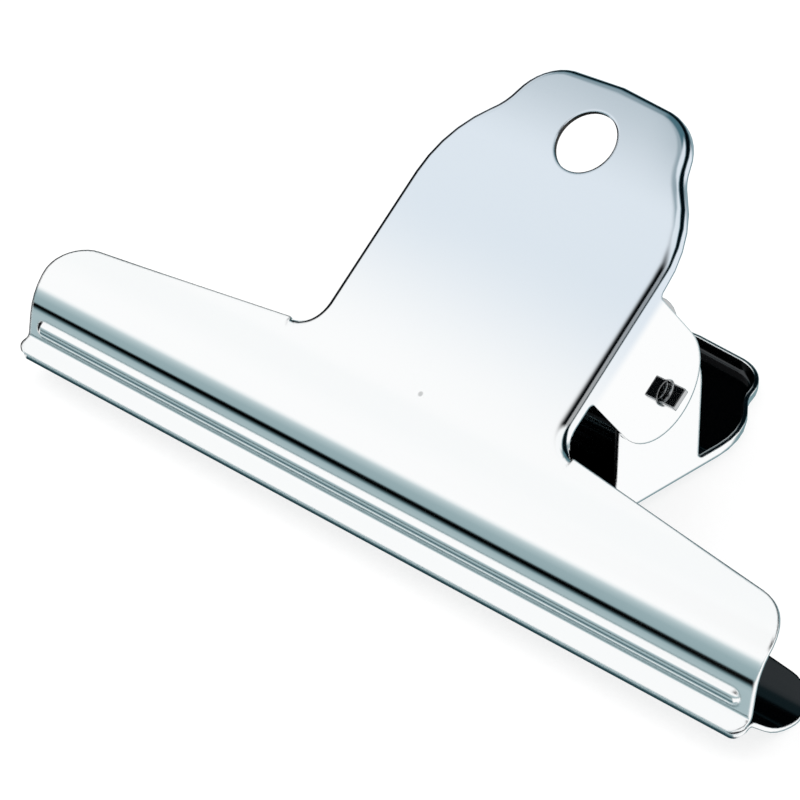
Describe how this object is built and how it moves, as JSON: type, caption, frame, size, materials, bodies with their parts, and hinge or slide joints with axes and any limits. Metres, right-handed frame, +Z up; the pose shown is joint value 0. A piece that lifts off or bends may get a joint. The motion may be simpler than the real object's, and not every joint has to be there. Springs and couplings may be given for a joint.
{
  "type": "bulldog clip",
  "caption": "Wide bulldog clip in bright steel: two pressed plates with long jaws, hinged on a rolled strip spring, with a hanging hole.",
  "frame": {"origin": "centre of the bounding box's underside, where the closed clip lies on a table", "axes": "+X along the jaws, +Y from the jaws to the handles, +Z up from the table"},
  "size_m": [0.145, 0.0772, 0.0536],
  "materials": {
    "front_steel": "bright plated",
    "back_steel": "bright plated",
    "spring_steel": "bright plated spring strip"
  },
  "bodies": {
    "back_body": {"back_plate": "back_steel", "spring": "spring_steel"},
    "front_body": {"front_plate": "front_steel"}
  },
  "joints": [
    {"name": "jaw_hinge", "type": "hinge", "parent": "back_body", "child": "front_body", "pos_m": [0, 0.00248, 0.01943], "axis": [-1, 0, 0], "range_deg": [0, 38], "stiffness_Nm_per_rad": 0.02, "springref_deg": -20.05, "deforming": ["spring"]}
  ]
}
